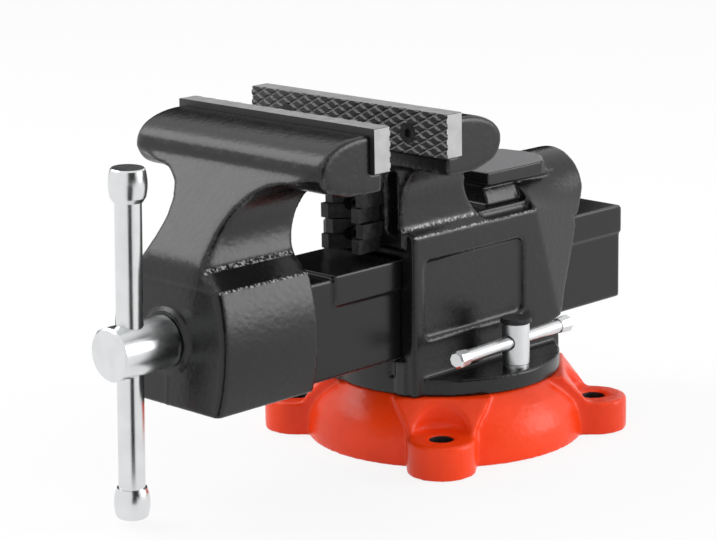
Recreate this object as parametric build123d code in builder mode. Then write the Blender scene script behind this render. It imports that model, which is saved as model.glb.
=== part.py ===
# Bench vise on a bolt-down swivel base, jaws part open.
# Millimetres, +Z up. Origin: swivel axis at the underside of the base.
# Heights are written from a level just above the bench; keep() lifts each piece by -bench_z.
# -Y is the handle end, +Y the anvil end, +X the side with the first lock handle.
import math
import os

from build123d import *

# ---------------------------------------------------------------- driving sizes
# jaws
jaw_width = 165.0
plate_thickness = 12.7
plate_height = 26.2
jaw_top = 219.0
jaw_opening = 46.6
rear_grip = -84.5
front_grip = rear_grip - jaw_opening
head_half = 79.5
head_top = 215.2
head_bottom = 181.6
head_belly = 30.0
head_back = 51.4
head_back_z = 198.8
head_crown = 18.0
head_rounding = 2.5
plate_lip = 4.0
plate_screw_x = 51.0
plate_screw_z = 204.6
knurl_pitch = 12.0
knurl_angle = 27.0
knurl_depth = 1.0
knurl_half = 1.25

# slide bar, a downward-open channel
slide_half = 27.7
slide_lip_half = 29.2
slide_top = 122.5
slide_lip_z = 104.2
slide_bottom = 59.6
slide_wall = 6.0
slide_front = -220.0
slide_lip_front = -124.3
slide_stub_top = 120.6
slide_rear = 141.8
slide_clearance = 0.3

# front casting
block_half = 48.5
block_top_half = 42.0
block_bottom_half = 43.4
block_front = -232.5
block_top_front = -228.5
block_rear = -157.8
block_bottom = 61.9
block_top = 133.5
block_rounding = 3.5
neck_waist = 24.4
neck_waist_z = 161.0
foot_z = 143.0
foot_half = 28.5

# main screw and tommy bar
screw_z = 100.0
hub_radius = 15.6
hub_front = -273.3
boss_radius = 18.5
boss_front = -232.0
journal_radius = 12.0
thread_radius = 11.5
thread_root = 9.6
thread_lead = 5.0
thread_front = -185.0
screw_rear = 115.0
running = 0.08
handle_y = -257.5
handle_tilt = 2.2
handle_radius = 7.7
handle_top = 204.6
handle_bottom = 1.2
upper_cap_height = 19.0
upper_cap_radius = 10.9
lower_cap_height = 17.5
lower_cap_radius = 10.3

# rear casting
body_half = 39.6
body_front = -68.5
body_rear = 66.0
ledge_z = 137.0
disc_radius = 73.0
disc_bottom = 37.0
disc_top = 47.7
rear_neck_half = 33.0
rear_neck_front = -72.0
anvil_half = 30.0
anvil_top = 164.3
anvil_front = 8.7
anvil_rear = 77.0
hump_radius = 26.5
hump_rear = 105.0
panel_depth = 2.6
chin_half = 19.0
chin_rib_x = 28.1
chin_rib_width = 8.0

# swivel base
bench_z = -3.5
base_top_radius = 70.5
base_bottom_radius = 88.5
base_turn = -3.4
lug_circle = 94.3
lug_radius = 21.2
lug_height = 17.8
lug_hole_radius = 7.0
lug_count = 4
spot_face_radius = 18.3

# swivel locks
lock_x = 60.5
lock_nut_radius = 8.5
lock_nut_bottom = 49.3
lock_nut_top = 76.2
lock_cap_radius = 9.8
lock_cap_height = 2.5
lock_bar_z = 64.0
lock_bar_radius = 4.0
lock_bar_turn = 3.7
lock_bar_half = 56.0
lock_bar_shift = -3.0
lock_knob_length = 10.0
lock_knob_radius = 5.2
stud_radius = 5.0

os.makedirs("parts", exist_ok=True)


def keep(name, part):
    """Stand a finished piece on the bench level, label it and write its STEP file."""
    placed = part.translate((0, 0, -bench_z))
    placed.label = name
    export_step(placed, f"parts/{name}.step")


def box_outline(plane, half, low, high, grow):
    """Rectangle centred on the slide, from one height to another, grown all round."""
    with BuildSketch(plane) as outline:
        with Locations((0, (low + high) / 2)):
            Rectangle(2 * (half + grow), high - low + 2 * grow)
    return outline.sketch


def slide_outline(plane, grow=0.0):
    """Outer section of the slide bar where it runs in the housing: a box with a wider lip above."""
    return (box_outline(plane, slide_half, slide_bottom, slide_top, grow)
            + box_outline(plane, slide_lip_half, slide_lip_z, slide_top, grow))


def xz_plane(y):
    """Plane across the vise at this y, with local axes X and Z, facing the handle end."""
    return Plane.XZ.offset(-y)


def jaw_head(grip, way):
    """D-shaped jaw head with the rabbet for its plate: way is -1 for the front jaw, 1 for the rear."""
    profile_plane = Plane(origin=(0, grip, 0), x_dir=(0, way, 0), z_dir=(way, 0, 0))
    plate_foot = jaw_top - plate_height
    heel = (head_belly + 12.0, head_bottom + 3.4)
    with BuildPart() as head:
        with BuildSketch(profile_plane):
            with BuildLine():
                Polyline((plate_lip, head_bottom), (head_belly, head_bottom), heel)
                ThreePointArc(heel, (head_back - 2.9, head_back_z - 9.1), (head_back, head_back_z))
                EllipticalCenterArc((head_crown, head_back_z), head_back - head_crown,
                                    head_top - head_back_z, start_angle=0, arc_size=90)
                Polyline((head_crown, head_top), (plate_thickness, head_top), (plate_thickness, plate_foot),
                         (plate_lip, plate_foot), (plate_lip, head_bottom))
            make_face()
        extrude(amount=head_half, both=True)
        end_edges = head.faces().filter_by(Axis.X).edges()
        fillet(end_edges.filter_by(GeomType.LINE, reverse=True), head_rounding)
    return head.part


# ---------------------------------------------------------------- fasteners
def socket_screw(plane, head_radius, head_height, shank_radius, length, socket, countersunk):
    """Screw driven along the plane's -z: its head's top lies in the plane."""
    with BuildPart() as screw:
        with BuildSketch(plane):
            Circle(head_radius)
        if countersunk:
            with BuildSketch(plane.offset(-head_height)):
                Circle(shank_radius)
            loft()
        else:
            extrude(amount=-head_height)
        with BuildSketch(plane.offset(-head_height)):
            Circle(shank_radius)
        extrude(amount=-(length - head_height))
        with BuildSketch(plane):
            RegularPolygon(socket, 6, major_radius=False)
        extrude(amount=-head_height * 0.7, mode=Mode.SUBTRACT)
    return screw.part


# ---------------------------------------------------------------- fastener places
plate_head_radius = 6.3
plate_head_height = 3.3
plate_head_sink = 0.3
plate_shank_radius = 3.0
plate_screw_length = 30.0
pipe_shank_radius = 2.5
pipe_head_radius = 4.6
pipe_head_height = 3.2
pipe_screw_length = 16.0
pipe_screw_seat = 6.0
pipe_drill_start = 12.0
rear_screw_planes = [
    Plane(origin=(x, rear_grip, plate_screw_z), z_dir=(0, -1, 0)) for x in (-plate_screw_x, plate_screw_x)
]
front_screw_planes = [
    Plane(origin=(x, front_grip, plate_screw_z), z_dir=(0, 1, 0)) for x in (-plate_screw_x, plate_screw_x)
]
front_pipe_seat = -158.5
rear_pipe_planes = [
    Plane(origin=(0, rear_neck_front - pipe_screw_seat, z), z_dir=(0, -1, 0)) for z in (136.0, 155.0)
]
front_pipe_planes = [Plane(origin=(0, front_pipe_seat + pipe_screw_seat, 155.0), z_dir=(0, 1, 0))]
nut_bolt_seat = 51.0
nut_bolt_radius = 4.0
nut_bolt_length = 26.0
nut_bolt_planes = [Plane(origin=(0, y, nut_bolt_seat), z_dir=(0, 0, -1)) for y in (-53.0, -31.0)]
pivot_radius = 8.0
pivot_seat_z = 16.0
pivot_tip_z = 46.0
pivot_plane = Plane(origin=(0, 0, pivot_seat_z), z_dir=(0, 0, -1))
lug_angles = [45 + base_turn + 360 / lug_count * lug for lug in range(lug_count)]


# ---------------------------------------------------------------- front casting
front_pipe_heights = (143.0, 167.0)
pipe_half = 16.0

with BuildPart() as block:
    with BuildSketch(xz_plane(block_rear)):
        with BuildLine():
            Line((0, block_bottom), (block_bottom_half, block_bottom))
            ThreePointArc((block_bottom_half, block_bottom), (block_half, 97.0), (block_top_half, block_top))
            Polyline((block_top_half, block_top), (0, block_top), (0, block_bottom))
        make_face()
        mirror(about=Plane.YZ)
    extrude(amount=block_rear - block_front)
    block_face = Plane(
        origin=(0, block_top_front, block_top),
        x_dir=(1, 0, 0),
        z_dir=(0, block_bottom - block_top, block_top_front - block_front),
    )
    split(bisect_by=block_face, keep=Keep.BOTTOM)
    front_face = block.faces().sort_by(Axis.Y)[0]
    fillet(front_face.edges().filter_by(GeomType.LINE, reverse=True), block_rounding)

with BuildPart() as front_jaw:
    # neck: side profile, then cut to its hour-glass front view
    with BuildSketch(Plane.YZ):
        with BuildLine():
            Line((-175.6, 204.0), (-219.5, 152.5))
            ThreePointArc((-219.5, 152.5), (-225.3, 143.8), (-227.0, 134.0))
            Polyline((-227.0, 134.0), (-227.0, 125.0), (-157.8, 125.0), (-155.0, 141.0))
            ThreePointArc((-155.0, 141.0), (-152.2, 157.0), (-147.0, 172.0))
            ThreePointArc((-147.0, 172.0), (-143.0, 179.0), (-135.5, 184.0))
            Polyline((-135.5, 184.0), (-145.0, 190.0), (-147.0, 204.0), (-175.6, 204.0))
        make_face()
    extrude(amount=head_half, both=True)
    with BuildSketch(Plane.XZ):
        with BuildLine():
            Line((0, 125.0), (block_top_half, 125.1))
            TangentArc((neck_waist, neck_waist_z), (block_top_half, 125.1), tangent=(0, -1))
            TangentArc((neck_waist, neck_waist_z), (52.2, 188.8), tangent=(0, 1))
            Polyline((52.2, 188.8), (head_half, 195.5), (head_half, 210.0), (0, 210.0))
            Line((0, 210.0), (0, 125.0))
        make_face()
        mirror(about=Plane.YZ)
    extrude(amount=300, both=True, mode=Mode.INTERSECT)
    # jaw head
    add(jaw_head(front_grip, -1))
    # foot of the neck spreading on to the block
    foot_front = block_top_front + 1.0
    foot_rear = block_rear + 2.2
    with BuildSketch(Plane.XY.offset(block_top)):
        with Locations((0, (block_rear + foot_front) / 2)):
            Rectangle(2 * block_top_half - 1, block_rear - foot_front)
    with BuildSketch(Plane.XY.offset(foot_z)):
        with Locations((0, (foot_rear + foot_front + 2.5) / 2)):
            Rectangle(2 * foot_half, foot_rear - foot_front - 2.5)
    loft()
    # block round the front end of the slide: barrel-sided, its front face leaning out downwards
    add(block.part)
    with BuildSketch(xz_plane(block_top_front)):
        with Locations((0, screw_z)):
            Circle(boss_radius)
    extrude(amount=block_top_front - boss_front)
    # pocket for the slide, open at the back and below
    pocket_mouth = block_rear + 1.0
    extrude(box_outline(xz_plane(pocket_mouth), slide_half, slide_bottom, slide_stub_top, 0),
            pocket_mouth - slide_front, mode=Mode.SUBTRACT)
    # bore for the screw journal
    with BuildSketch(xz_plane(slide_front + 13.0)):
        with Locations((0, screw_z)):
            Circle(journal_radius + running)
    extrude(amount=40, mode=Mode.SUBTRACT)
    # seat for the front pipe jaw
    with BuildSketch(xz_plane(front_pipe_seat)):
        with Locations((0, sum(front_pipe_heights) / 2)):
            Rectangle(2 * pipe_half + 3.0, front_pipe_heights[1] - front_pipe_heights[0])
    extrude(amount=-30, mode=Mode.SUBTRACT)
    # screw holes
    with Locations(*front_pipe_planes):
        Hole(pipe_shank_radius, depth=pipe_screw_length + 1.0)
    with Locations(*front_screw_planes):
        Hole(plate_shank_radius, depth=plate_screw_length + 1.0)
keep("front_jaw", front_jaw.part)


# ---------------------------------------------------------------- slide bar
with BuildPart() as slide_bar:
    extrude(slide_outline(xz_plane(slide_rear)), slide_rear - slide_lip_front)
    extrude(box_outline(xz_plane(slide_lip_front), slide_half, slide_bottom, slide_stub_top, 0),
            slide_lip_front - slide_front)
    cross_edges = slide_bar.edges().filter_by(Axis.X)
    chamfer(cross_edges.group_by(Axis.Y)[-1].group_by(Axis.Z)[-1], 2.0)
    lip_start = slide_bar.edges().filter_by(Axis.X).filter_by_position(
        Axis.Y, slide_lip_front - 0.1, slide_lip_front + 0.1)
    fillet(lip_start.group_by(Axis.Z)[0], 2.0)
    # channel, open below and at both ends
    channel_height = slide_stub_top - slide_wall - slide_bottom
    with BuildSketch(xz_plane(slide_rear + 1)):
        with Locations((0, slide_bottom + channel_height / 2)):
            Rectangle(2 * (slide_half - slide_wall), channel_height)
    extrude(amount=slide_rear - slide_front + 2, mode=Mode.SUBTRACT)
keep("slide_bar", slide_bar.part)


# ---------------------------------------------------------------- main screw
spring_front = -216.0
spring_rear = -199.0
collar_front = -199.0
collar_rear = -188.0
collar_radius = 14.2
handle_plane = Plane(
    origin=(0, handle_y, screw_z),
    x_dir=(0, 1, 0),
    z_dir=(math.sin(math.radians(handle_tilt)), 0, math.cos(math.radians(handle_tilt))),
)

with BuildPart() as main_screw:
    # hub, journal, thread shank: (y, radius) steps turned about the screw axis
    with BuildSketch(Plane.YZ):
        with BuildLine():
            Polyline(
                (hub_front, screw_z),
                (hub_front, screw_z + hub_radius - 1.2),
                (hub_front + 1.2, screw_z + hub_radius),
                (boss_front - 0.8, screw_z + hub_radius),
                (boss_front - 0.3, screw_z + hub_radius - 0.5),
                (boss_front, screw_z + journal_radius),
                (collar_rear, screw_z + journal_radius),
                (thread_front, screw_z + thread_root),
                (screw_rear, screw_z + thread_root),
                (screw_rear, screw_z),
                (hub_front, screw_z),
            )
        make_face()
    revolve(axis=Axis((0, 0, screw_z), (0, 1, 0)))
    # thread as evenly spaced crests
    crest_count = int((screw_rear - thread_front) / thread_lead)
    for crest in range(crest_count):
        crest_y = thread_front + thread_lead * (crest + 0.5)
        with BuildSketch(Plane.YZ):
            with BuildLine():
                Polyline(
                    (crest_y - 1.8, screw_z + thread_root - 0.5),
                    (crest_y - 0.9, screw_z + thread_radius),
                    (crest_y + 0.9, screw_z + thread_radius),
                    (crest_y + 1.8, screw_z + thread_root - 0.5),
                    (crest_y - 1.8, screw_z + thread_root - 0.5),
                )
            make_face()
    revolve(axis=Axis((0, 0, screw_z), (0, 1, 0)))
    # cross hole for the tommy bar
    with BuildSketch(handle_plane):
        Circle(handle_radius + 0.15)
    extrude(amount=2 * hub_radius, both=True, mode=Mode.SUBTRACT)
    # drilled hole for the collar pin
    with BuildSketch(Plane.XY.offset(screw_z)):
        with Locations((0, (collar_front + collar_rear) / 2)):
            Circle(2.5)
    extrude(amount=2 * journal_radius, both=True, mode=Mode.SUBTRACT)
keep("main_screw", main_screw.part)


def ring(y_front, y_rear, inner, outer, name):
    """Plain ring about the main screw axis."""
    with BuildPart() as turned:
        with BuildSketch(xz_plane(y_rear)):
            with Locations((0, screw_z)):
                Circle(outer)
                Circle(inner, mode=Mode.SUBTRACT)
        extrude(amount=y_rear - y_front)
    keep(name, turned.part)
    return turned.part


wall_rear = slide_front
ring(wall_rear, spring_front, journal_radius + 0.1, collar_radius, "spring_washer")

with BuildPart() as collar:
    add(ring(collar_front, collar_rear, journal_radius + 0.02, collar_radius, "screw_collar"))
    with BuildSketch(Plane.XY.offset(screw_z)):
        with Locations((0, (collar_front + collar_rear) / 2)):
            Circle(2.5)
    extrude(amount=2 * collar_radius, both=True, mode=Mode.SUBTRACT)
keep("screw_collar", collar.part)

with BuildPart() as collar_pin:
    with BuildSketch(Plane.XY.offset(screw_z)):
        with Locations((0, (collar_front + collar_rear) / 2)):
            Circle(2.5)
    extrude(amount=collar_radius, both=True)
    chamfer(collar_pin.edges().filter_by(GeomType.CIRCLE), 0.5)
keep("collar_pin", collar_pin.part)

spring_wire = 1.1
spring_turns = 3.0
spring_mid = (journal_radius + collar_radius) / 2
spring_length = spring_rear - spring_front - 2 * spring_wire
with BuildPart() as take_up_spring:
    with BuildLine() as coil:
        Helix(
            pitch=spring_length / spring_turns,
            height=spring_length,
            radius=spring_mid,
            center=(0, spring_front + spring_wire, screw_z),
            direction=(0, 1, 0),
        )
    with BuildSketch(Plane(origin=coil.line @ 0, z_dir=coil.line % 0)):
        Circle(spring_wire)
    sweep()
keep("take_up_spring", take_up_spring.part)


# ---------------------------------------------------------------- tommy bar
def along_bar(z):
    """Plane square to the tommy bar at about this height."""
    return handle_plane.offset(z - screw_z)


with BuildPart() as handle_bar:
    with BuildSketch(along_bar(handle_bottom + 5.0)):
        Circle(handle_radius)
    extrude(amount=handle_top - handle_bottom - 10.0)
    chamfer(handle_bar.edges().filter_by(GeomType.CIRCLE), 1.0)
keep("handle_bar", handle_bar.part)


def bar_cap(name, outer_z, height, radius, way):
    """Barrel-shaped cap pressed on the bar, flat outside, necked inside."""
    end = along_bar(outer_z)
    turn_plane = Plane(origin=end.origin, x_dir=(0, 1, 0), z_dir=end.z_dir.cross(Vector(0, 1, 0)))
    sign = way * (1 if turn_plane.y_dir.dot(end.z_dir) > 0 else -1)
    with BuildPart() as cap:
        with BuildSketch(turn_plane):
            with BuildLine():
                Polyline((0, 0), (radius * 0.84, 0), (radius * 0.9, -0.8 * sign))
                ThreePointArc(
                    (radius * 0.9, -0.8 * sign),
                    (radius, -0.62 * height * sign),
                    (radius * 0.93, -(height - 2.6) * sign),
                )
                Polyline(
                    (radius * 0.93, -(height - 2.6) * sign),
                    (handle_radius + 0.9, -height * sign),
                    (handle_radius, -height * sign),
                    (handle_radius, -5.0 * sign),
                    (0, -5.0 * sign),
                    (0, 0),
                )
            make_face()
        revolve(axis=Axis(end.origin, end.z_dir))
    keep(name, cap.part)


bar_cap("handle_cap_upper", handle_top, upper_cap_height, upper_cap_radius, 1)
bar_cap("handle_cap_lower", handle_bottom, lower_cap_height, lower_cap_radius, -1)


# ---------------------------------------------------------------- rear casting
tunnel_floor = slide_bottom - slide_clearance
nut_front = -63.0
nut_rear = -21.0
nut_half = 20.5
spigot_radius = 20.0
spigot_bottom = 21.5
rear_pipe_heights = (127.0, 165.0)

# vault over the back of the slide: its flanks run down and forward into the rear edges of the housing
vault_z = anvil_top - hump_radius - 0.4
vault_front = 43.0
gusset_foot = 57.0
tangent_angle = math.acos(hump_radius / body_half)


def vault_section(y, top_half, foot_half, curved):
    """Section of the vault: flanks from the foot up, then straight or curved shoulders to the arch."""
    tangent_x = hump_radius * math.cos(tangent_angle)
    tangent_z = vault_z + hump_radius * math.sin(tangent_angle)
    middle_x = hump_radius * math.cos(tangent_angle / 2)
    middle_z = vault_z + hump_radius * math.sin(tangent_angle / 2)
    with BuildSketch(xz_plane(y)) as section:
        with BuildLine():
            Line((-foot_half, gusset_foot), (foot_half, gusset_foot))
            for side in (1, -1):
                Line((side * foot_half, gusset_foot), (side * top_half, vault_z))
                if curved:
                    ThreePointArc((side * top_half, vault_z), (side * middle_x, middle_z),
                                  (side * tangent_x, tangent_z))
                else:
                    Line((side * top_half, vault_z), (side * tangent_x, tangent_z))
            ThreePointArc((tangent_x, tangent_z), (0, vault_z + hump_radius), (-tangent_x, tangent_z))
        make_face()
    return section.sketch


with BuildPart() as vault:
    flank_lean = 5.2
    loft([vault_section(vault_front, body_half, body_half + flank_lean, False),
          vault_section(hump_rear, hump_radius, hump_radius + flank_lean, True)], ruled=True)
    with BuildSketch(Plane.YZ):
        with BuildLine():
            Polyline((vault_front, 200.0), (hump_rear, 200.0), (hump_rear, vault_z),
                     (body_rear, gusset_foot), (vault_front, gusset_foot), (vault_front, 200.0))
        make_face()
    extrude(amount=body_half, both=True, mode=Mode.INTERSECT)

with BuildPart() as vise_body:
    # neck under the rear head: side profile cut to its flared front view
    with BuildSketch(Plane.YZ):
        with BuildLine():
            Polyline((rear_neck_front, 130.0), (rear_neck_front, 186.0), (-47.0, 200.0))
            Polyline((-47.0, 200.0), (-27.0, 183.6), (-16.0, 166.0))
            ThreePointArc((-16.0, 166.0), (-12.0, 153.0), (-4.0, 142.0))
            Polyline((-4.0, 142.0), (-4.0, 130.0), (rear_neck_front, 130.0))
        make_face()
    extrude(amount=head_half, both=True)
    with BuildSketch(Plane.XZ):
        with BuildLine():
            Polyline((0, 130.0), (rear_neck_half, 130.0), (rear_neck_half, 155.0))
            TangentArc((rear_neck_half, 155.0), (rear_neck_half + 28.0, 183.0), tangent=(0, 1))
            Polyline((rear_neck_half + 28.0, 183.0), (rear_neck_half + 28.0, 200.0), (0, 200.0))
            Line((0, 200.0), (0, 130.0))
        make_face()
        mirror(about=Plane.YZ)
    extrude(amount=100, both=True, mode=Mode.INTERSECT)
    # jaw head
    add(jaw_head(rear_grip, 1))
    # shoulder of the neck on the body
    with BuildSketch(Plane.XY.offset(ledge_z)):
        with Locations((0, (body_front + 1.0) / 2)):
            Rectangle(2 * body_half - 0.6, 1.0 - body_front)
    with BuildSketch(Plane.XY.offset(ledge_z + 4.0)):
        with Locations((0, (rear_neck_front - 4.0) / 2)):
            Rectangle(2 * rear_neck_half, -4.0 - rear_neck_front)
    loft()
    # slide housing: full length at its foot, above that only as far as the vault
    for rear, low, high in ((body_rear, disc_bottom, gusset_foot), (vault_front, gusset_foot, ledge_z)):
        with BuildSketch(Plane.XY.offset(low)) as housing_plan:
            with Locations((0, (body_front + rear) / 2)):
                Rectangle(2 * body_half, rear - body_front)
            fillet(housing_plan.vertices().group_by(Axis.Y)[0], 3.0)
        extrude(amount=high - low)
    # swivel disc and the pivot spigot below it
    with BuildSketch(Plane.XY.offset(disc_bottom)):
        Circle(disc_radius)
    extrude(amount=disc_top - disc_bottom)
    with BuildSketch(Plane.XY.offset(spigot_bottom)):
        Circle(spigot_radius)
    extrude(amount=disc_bottom - spigot_bottom)
    # chin under the slide, flush with the disc
    with BuildSketch(Plane.XY.offset(disc_bottom)):
        Circle(disc_radius)
        with Locations((0, -disc_radius)):
            Rectangle(2 * chin_half, 60.0, mode=Mode.INTERSECT)
    extrude(amount=tunnel_floor - disc_bottom)
    # ribs between chin and side walls
    for side in (-1, 1):
        with BuildSketch(Plane.XY.offset(disc_bottom)):
            with Locations((side * chin_rib_x, body_front)):
                Rectangle(chin_rib_width, 3.0)
        extrude(amount=tunnel_floor - disc_bottom)
    # anvil plate on the vault, with a low strip round its foot
    anvil_middle = (anvil_front + anvil_rear) / 2
    anvil_length = anvil_rear - anvil_front
    with BuildSketch(Plane.XY.offset(ledge_z)):
        with Locations((0, 23.0)):
            Rectangle(64.0, 52.0)
    extrude(amount=4.8)
    with BuildSketch(xz_plane(vault_front + 9.0)):
        with Locations((0, vault_z)):
            Circle(hump_radius)
    extrude(amount=vault_front + 9.0 - (anvil_front + 4.0))
    with BuildSketch(Plane.XY.offset(anvil_top - 10.4)):
        with Locations((0, anvil_middle)):
            Rectangle(2 * anvil_half - 3.0, anvil_length - 6.0)
    extrude(amount=3.0)
    with BuildSketch(Plane.XY.offset(anvil_top - 8.4)) as plate_plan:
        with Locations((0, anvil_middle)):
            Rectangle(2 * anvil_half, anvil_length)
        chamfer(plate_plan.vertices().group_by(Axis.Y)[-1], 15.0)
        rear_corners = plate_plan.vertices().group_by(Axis.Y)[-2:]
        fillet(rear_corners[0] + rear_corners[1], 7.0)
    extrude(amount=8.4)
    add(vault.part)
    # recessed panels on both sides
    for side in (-1, 1):
        with BuildSketch(Plane.YZ.offset(side * body_half)):
            with Locations((-14.0, 96.5)):
                RectangleRounded(91.0, 49.0, 6.0)
        extrude(amount=-side * panel_depth, mode=Mode.SUBTRACT)
    # tunnel for the slide, right through
    extrude(slide_outline(xz_plane(hump_rear + 1), slide_clearance), 220.0, mode=Mode.SUBTRACT)
    # recesses either side of the pipe jaw seat
    for side in (-1, 1):
        with BuildSketch(xz_plane(rear_neck_front - 1)):
            with Locations((side * 25.0, 157.0)):
                RectangleRounded(9.0, 38.0, 3.0)
        extrude(amount=-11.0, mode=Mode.SUBTRACT)
    # screw holes: plate, pipe jaw, nut and pivot
    with Locations(*rear_screw_planes):
        Hole(plate_shank_radius, depth=plate_screw_length + 1.0)
    with Locations(*rear_pipe_planes):
        Hole(pipe_shank_radius, depth=pipe_screw_length + 1.0)
    with Locations(*[plane.offset(nut_bolt_seat - disc_bottom) for plane in nut_bolt_planes]):
        CounterBoreHole(nut_bolt_radius, 8.2, nut_bolt_seat - disc_bottom, depth=30.0)
    with Locations(pivot_plane):
        Hole(pivot_radius, depth=pivot_tip_z - pivot_seat_z)
    # holes for the swivel lock studs
    with BuildSketch(Plane.XY.offset(disc_bottom)):
        with Locations((lock_x, 0), (-lock_x, 0)):
            Circle(stud_radius + 0.3)
    extrude(amount=20.0, mode=Mode.SUBTRACT)
keep("vise_body", vise_body.part)


# ---------------------------------------------------------------- screw nut
with BuildPart() as screw_nut:
    with BuildSketch(Plane.XY.offset(tunnel_floor)):
        with Locations((0, (nut_front + nut_rear) / 2)):
            RectangleRounded(2 * nut_half, nut_rear - nut_front, 2.0)
    extrude(amount=slide_stub_top - slide_wall - 0.5 - tunnel_floor)
    with BuildSketch(xz_plane(nut_rear + 1)):
        with Locations((0, screw_z)):
            Circle(thread_radius + running)
    extrude(amount=nut_rear - nut_front + 2, mode=Mode.SUBTRACT)
    with Locations(*nut_bolt_planes):
        Hole(nut_bolt_radius, depth=nut_bolt_length)
keep("screw_nut", screw_nut.part)


# ---------------------------------------------------------------- jaw plates
knurl_run = plate_height / math.tan(math.radians(knurl_angle))
groove_length = plate_height / math.sin(math.radians(knurl_angle)) + 12.0
groove_count = int((jaw_width + knurl_run) / knurl_pitch) + 1
rear_face = Plane(origin=(0, rear_grip, jaw_top - plate_height / 2), x_dir=(1, 0, 0), z_dir=(0, -1, 0))

with BuildPart() as jaw_plate_rear:
    with BuildSketch(rear_face):
        Rectangle(jaw_width, plate_height)
    extrude(amount=-plate_thickness)
    fillet(jaw_plate_rear.edges().filter_by(Axis.Y), 0.8)
    # crosshatch: two families of slanting V grooves
    for lean in (-knurl_angle, knurl_angle):
        lean_angle = math.radians(lean)
        groove_way = Vector(math.cos(lean_angle), 0, math.sin(lean_angle))
        for groove in range(groove_count):
            groove_x = (groove - (groove_count - 1) / 2) * knurl_pitch
            groove_middle = rear_face.from_local_coords(Vector(groove_x, 0, 0))
            groove_start = groove_middle - groove_way * (groove_length / 2)
            with BuildSketch(Plane(groove_start, x_dir=rear_face.z_dir.cross(groove_way), z_dir=groove_way)):
                with BuildLine():
                    Polyline((-knurl_half, 0.05), (knurl_half, 0.05), (0, -knurl_depth), (-knurl_half, 0.05))
                make_face()
            extrude(amount=groove_length, mode=Mode.SUBTRACT)
    with Locations(*rear_screw_planes):
        CounterSinkHole(plate_shank_radius + 0.2, plate_head_radius + plate_head_sink + 0.03,
                        depth=plate_thickness + 1.0, counter_sink_angle=90)
keep("jaw_plate_rear", jaw_plate_rear.part)

# the front plate is the same plate turned about the middle of the jaw gap
gap_axis = Axis((0, (front_grip + rear_grip) / 2, 0), (0, 0, 1))
keep("jaw_plate_front", jaw_plate_rear.part.rotate(gap_axis, 180))

for name, planes in (("rear_plate_screws", rear_screw_planes), ("front_plate_screws", front_screw_planes)):
    with BuildPart() as plate_screws:
        for screw_plane in planes:
            add(socket_screw(screw_plane.offset(-plate_head_sink), plate_head_radius, plate_head_height,
                             plate_shank_radius, plate_screw_length, 2.5, True))
    keep(name, plate_screws.part)


# ---------------------------------------------------------------- pipe jaws
def pipe_jaw(name, face_y, heights, tooth_count, depth, way, screw_planes):
    """Stack of staggered V-notched teeth on a backing plate; way is the side it grips from."""
    low, high = heights
    tooth_height = (high - low) / tooth_count
    with BuildPart() as jaw:
        for tooth in range(tooth_count):
            shift = 1.2 if tooth % 2 else -1.2
            tip = depth - (1.6 if tooth % 2 else 0.0)
            with BuildSketch(Plane.XY.offset(low + tooth * tooth_height)):
                with BuildLine():
                    Polyline(
                        (shift - pipe_half, face_y),
                        (shift - pipe_half, face_y + way * tip),
                        (shift - pipe_half + 6.0, face_y + way * tip),
                        (0, face_y + way * 5.5),
                        (shift + pipe_half - 6.0, face_y + way * tip),
                        (shift + pipe_half, face_y + way * tip),
                        (shift + pipe_half, face_y),
                        (shift - pipe_half, face_y),
                    )
                make_face()
            extrude(amount=tooth_height - 0.7)
        # backing plate that ties the teeth together
        with BuildSketch(Plane.XY.offset(low)):
            with Locations((0, face_y + way * 2.5)):
                Rectangle(2 * pipe_half - 2.4, 5.0)
        extrude(amount=high - low - 0.7)
        with Locations(*[plane.offset(pipe_drill_start) for plane in screw_planes]):
            CounterBoreHole(pipe_shank_radius + 0.1, pipe_head_radius + 0.3,
                            pipe_drill_start + pipe_head_height, depth=20.0)
    keep(name, jaw.part)


pipe_jaw("pipe_jaw_rear", rear_neck_front, rear_pipe_heights, 4, 18.0, -1, rear_pipe_planes)
pipe_jaw("pipe_jaw_front", front_pipe_seat, front_pipe_heights, 3, 12.5, 1, front_pipe_planes)

for name, planes in (("rear_pipe_jaw_screws", rear_pipe_planes),
                     ("front_pipe_jaw_screw", front_pipe_planes)):
    with BuildPart() as pipe_screws:
        for screw_plane in planes:
            add(socket_screw(screw_plane, pipe_head_radius, pipe_head_height,
                             pipe_shank_radius, pipe_screw_length, 2.0, False))
    keep(name, pipe_screws.part)


# ---------------------------------------------------------------- screw nut bolts
with BuildPart() as nut_bolts:
    for bolt_plane in nut_bolt_planes:
        with BuildSketch(bolt_plane):
            RegularPolygon(6.5, 6, major_radius=False)
        extrude(amount=5.0)
        with BuildSketch(bolt_plane):
            Circle(nut_bolt_radius)
        extrude(amount=-nut_bolt_length)
keep("nut_bolts", nut_bolts.part)


# ---------------------------------------------------------------- swivel base
slot_throat_half = 5.4
slot_head_half = 7.6
slot_head_top = 29.0
slot_floor = 20.0
base_shell = 8.0
base_hub_radius = 28.0
pivot_recess_radius = 20.0
spigot_bore_z = spigot_bottom - 0.7
underside_z = 15.0

# one bolt lug on +X: a round-ended foot and a buttress that leans back and widens upwards
lug_root = 60.0
with BuildPart() as lug:
    with BuildSketch(Plane.XY.offset(bench_z)):
        with Locations(((lug_root + lug_circle) / 2, 0)):
            Rectangle(lug_circle - lug_root, 2 * lug_radius)
        with Locations((lug_circle, 0)):
            Circle(lug_radius)
    extrude(amount=lug_height - bench_z)
    for level, reach, half in ((lug_height, 91.3, 19.6), (disc_bottom, 75.0, 30.5)):
        with BuildSketch(Plane.XY.offset(level)):
            with Locations(((lug_root + reach) / 2, 0)):
                Rectangle(reach - lug_root, 2 * half)
    loft()

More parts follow.
